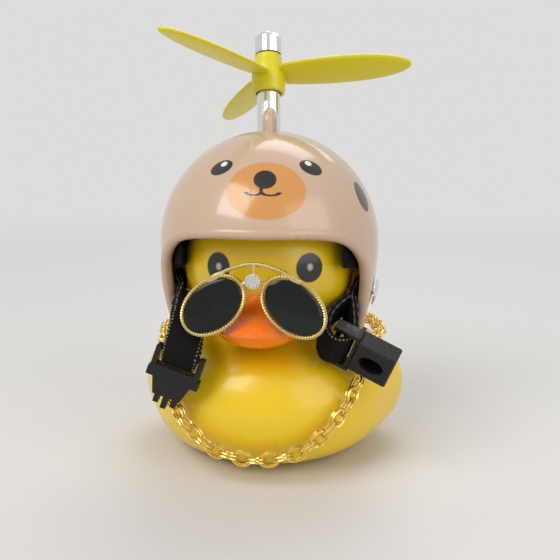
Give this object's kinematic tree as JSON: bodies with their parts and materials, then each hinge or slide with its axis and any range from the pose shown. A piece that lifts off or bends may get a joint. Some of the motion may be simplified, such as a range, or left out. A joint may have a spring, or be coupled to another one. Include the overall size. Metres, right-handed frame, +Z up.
{
  "type": "rubber duck",
  "caption": "Hollow toy duck in a bear-face helmet with a spinning propeller, sunglasses and a neck chain.",
  "frame": {"origin": "on the flat underside of the duck's body, ahead of the squeaker", "axes": "+Z up, -Y the way the duck looks, +X its left side"},
  "size_m": [0.0848, 0.0939, 0.1305],
  "materials": {
    "duck_vinyl": "satin soft vinyl, with an orange beak",
    "squeaker_plastic": "plain",
    "helmet_plastic": "glossy, with a printed face",
    "liner_foam": "black foam",
    "chrome": "polished",
    "propeller_plastic": "satin",
    "rivet_chrome": "polished",
    "webbing": "ribbed webbing",
    "buckle_plastic": "satin gloss",
    "frame_gold": "twisted gold-coloured wire",
    "lens_dark": "polished, near black",
    "crystal": "faceted",
    "chain_gold": "polished, gold-coloured"
  },
  "bodies": {
    "duck": {"duck_body": "duck_vinyl", "squeaker": "squeaker_plastic", "helmet_shell": "helmet_plastic", "helmet_liner": "liner_foam", "propeller_post": "chrome", "post_cap": "chrome", "rivet_left": "rivet_chrome", "rivet_right": "rivet_chrome", "strap_left": "webbing", "strap_right": "webbing", "buckle_socket": "buckle_plastic", "buckle_plug": "buckle_plastic", "glasses_frame": "frame_gold", "lens_left": "lens_dark", "lens_right": "lens_dark", "crystal": "crystal", "chain_back": "chain_gold", "chain_ring_01a": "chain_gold", "chain_ring_01b": "chain_gold", "chain_ring_02a": "chain_gold", "chain_ring_02b": "chain_gold", "chain_ring_03a": "chain_gold", "chain_ring_03b": "chain_gold", "chain_ring_04a": "chain_gold", "chain_ring_04b": "chain_gold", "chain_ring_05a": "chain_gold", "chain_ring_05b": "chain_gold", "chain_ring_06a": "chain_gold", "chain_ring_06b": "chain_gold", "chain_ring_07a": "chain_gold", "chain_ring_07b": "chain_gold", "chain_ring_08a": "chain_gold", "chain_ring_08b": "chain_gold", "chain_ring_09a": "chain_gold", "chain_ring_09b": "chain_gold", "chain_ring_10a": "chain_gold", "chain_ring_10b": "chain_gold", "chain_ring_11a": "chain_gold", "chain_ring_11b": "chain_gold", "chain_ring_12a": "chain_gold", "chain_ring_12b": "chain_gold", "chain_ring_13a": "chain_gold", "chain_ring_13b": "chain_gold", "chain_ring_14a": "chain_gold", "chain_ring_14b": "chain_gold", "chain_ring_15a": "chain_gold", "chain_ring_15b": "chain_gold", "chain_ring_16a": "chain_gold", "chain_ring_16b": "chain_gold", "chain_ring_17a": "chain_gold", "chain_ring_17b": "chain_gold"},
    "rotor": {"propeller": "propeller_plastic"}
  },
  "joints": [
    {"name": "propeller_spin", "type": "hinge", "parent": "duck", "child": "rotor", "pos_m": [-0.00224, 0.01624, 0.11689], "axis": [-0.0418, 0.284, 0.9579], "continuous": true}
  ]
}
